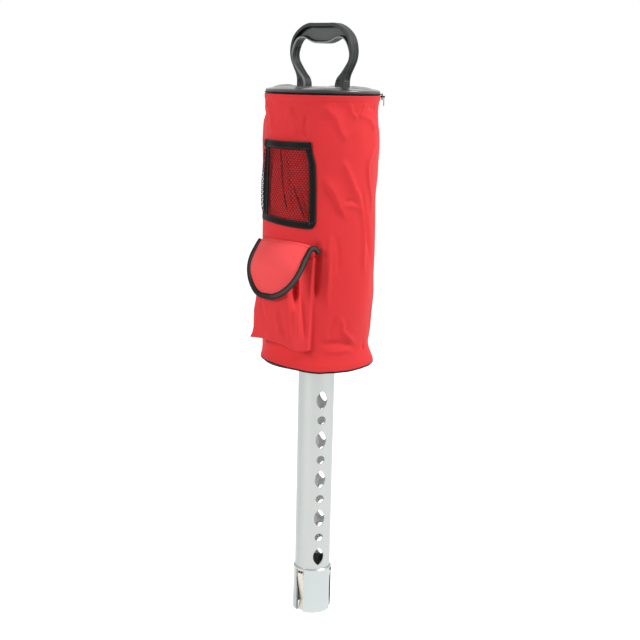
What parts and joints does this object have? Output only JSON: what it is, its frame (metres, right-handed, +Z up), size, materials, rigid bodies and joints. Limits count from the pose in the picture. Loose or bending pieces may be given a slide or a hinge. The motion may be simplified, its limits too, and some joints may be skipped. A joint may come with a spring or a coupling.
{
  "type": "golf ball pick-up bag",
  "caption": "Round cloth ball bag with zipped lid, moulded handle, mesh and flap pockets, and a slotted pick-up tube with a spring mouth.",
  "frame": {"origin": "on the tube's axis, in the plane of the mouth at the collar's lower edge", "axes": "+Z up along the tube to the handle; -Y towards the pockets; +X to the right of someone facing the pockets"},
  "size_m": [0.1544, 0.184, 0.8184],
  "materials": {
    "tube_metal": "light satin anodised aluminium",
    "collar_metal": "polished bright aluminium",
    "spring_steel": "bare spring steel strip",
    "fastener_steel": "plated steel",
    "pull_steel": "plated zinc",
    "moulded_black": "satin black moulded plastic",
    "inner_plastic": "matt black moulded plastic",
    "lid_vinyl": "glossy black coated cloth",
    "red_cloth": "woven red bag cloth",
    "flap_cloth": "woven red bag cloth, lined",
    "black_tape": "woven black binding tape",
    "zip_tape": "black zip tape",
    "zip_plastic": "black zip chain",
    "slider_paint": "black painted zinc",
    "base_cloth": "coated black cloth",
    "net_cord": "black knitted net",
    "patch_black": "hook and loop tape"
  },
  "bodies": {
    "root": {"pickup_tube": "tube_metal", "mouth_collar": "collar_metal", "spring_rivets": "fastener_steel", "top_socket": "inner_plastic", "socket_screws": "fastener_steel", "handle": "moulded_black", "handle_screws": "fastener_steel", "lid_panel": "lid_vinyl", "lid_piping": "black_tape", "zip_tape_upper": "zip_tape", "zip_teeth": "zip_plastic", "zip_tape_lower": "zip_tape", "bag_body": "red_cloth", "base_panel": "base_cloth", "base_board": "inner_plastic", "base_piping": "black_tape", "base_ring": "inner_plastic", "base_screws": "fastener_steel", "base_rivets": "fastener_steel", "mesh_panel": "net_cord", "mesh_binding_top": "black_tape", "mesh_binding_frame": "black_tape", "pocket_shell": "red_cloth", "loop_patch": "patch_black"},
    "spring_1": {"leaf_spring_1": "spring_steel"},
    "spring_2": {"leaf_spring_2": "spring_steel"},
    "spring_3": {"leaf_spring_3": "spring_steel"},
    "slider": {"zip_slider": "slider_paint"},
    "pull": {"zip_pull": "pull_steel"},
    "flap": {"pocket_flap": "flap_cloth", "flap_binding": "black_tape", "hook_patch": "patch_black"}
  },
  "joints": [
    {"name": "spring_1_flex", "type": "hinge", "parent": "root", "child": "spring_1", "pos_m": [0, -0.02525, 0.06225], "axis": [-1, 0, 0], "range_deg": [0, 2.4], "stiffness_Nm_per_rad": 1},
    {"name": "spring_2_flex", "type": "hinge", "parent": "root", "child": "spring_2", "pos_m": [0.02187, 0.01263, 0.06225], "axis": [0.5, -0.866, 0], "range_deg": [0, 2.4], "stiffness_Nm_per_rad": 1},
    {"name": "spring_3_flex", "type": "hinge", "parent": "root", "child": "spring_3", "pos_m": [-0.02187, 0.01263, 0.06225], "axis": [0.5, 0.866, 0], "range_deg": [0, 2.4], "stiffness_Nm_per_rad": 1},
    {"name": "slider_travel", "type": "hinge", "parent": "root", "child": "slider", "pos_m": [0, 0, 0.7242], "axis": [0, 0, 1], "range_deg": [-268, 0]},
    {"name": "pull_swing", "type": "hinge", "parent": "slider", "child": "pull", "pos_m": [0.06375, 0.04981, 0.7242], "axis": [0.6157, -0.788, 0], "range_deg": [0, 165]},
    {"name": "flap_hinge", "type": "hinge", "parent": "root", "child": "flap", "pos_m": [0, -0.07935, 0.5363], "axis": [-1, 0, 0], "range_deg": [0, 120]}
  ]
}
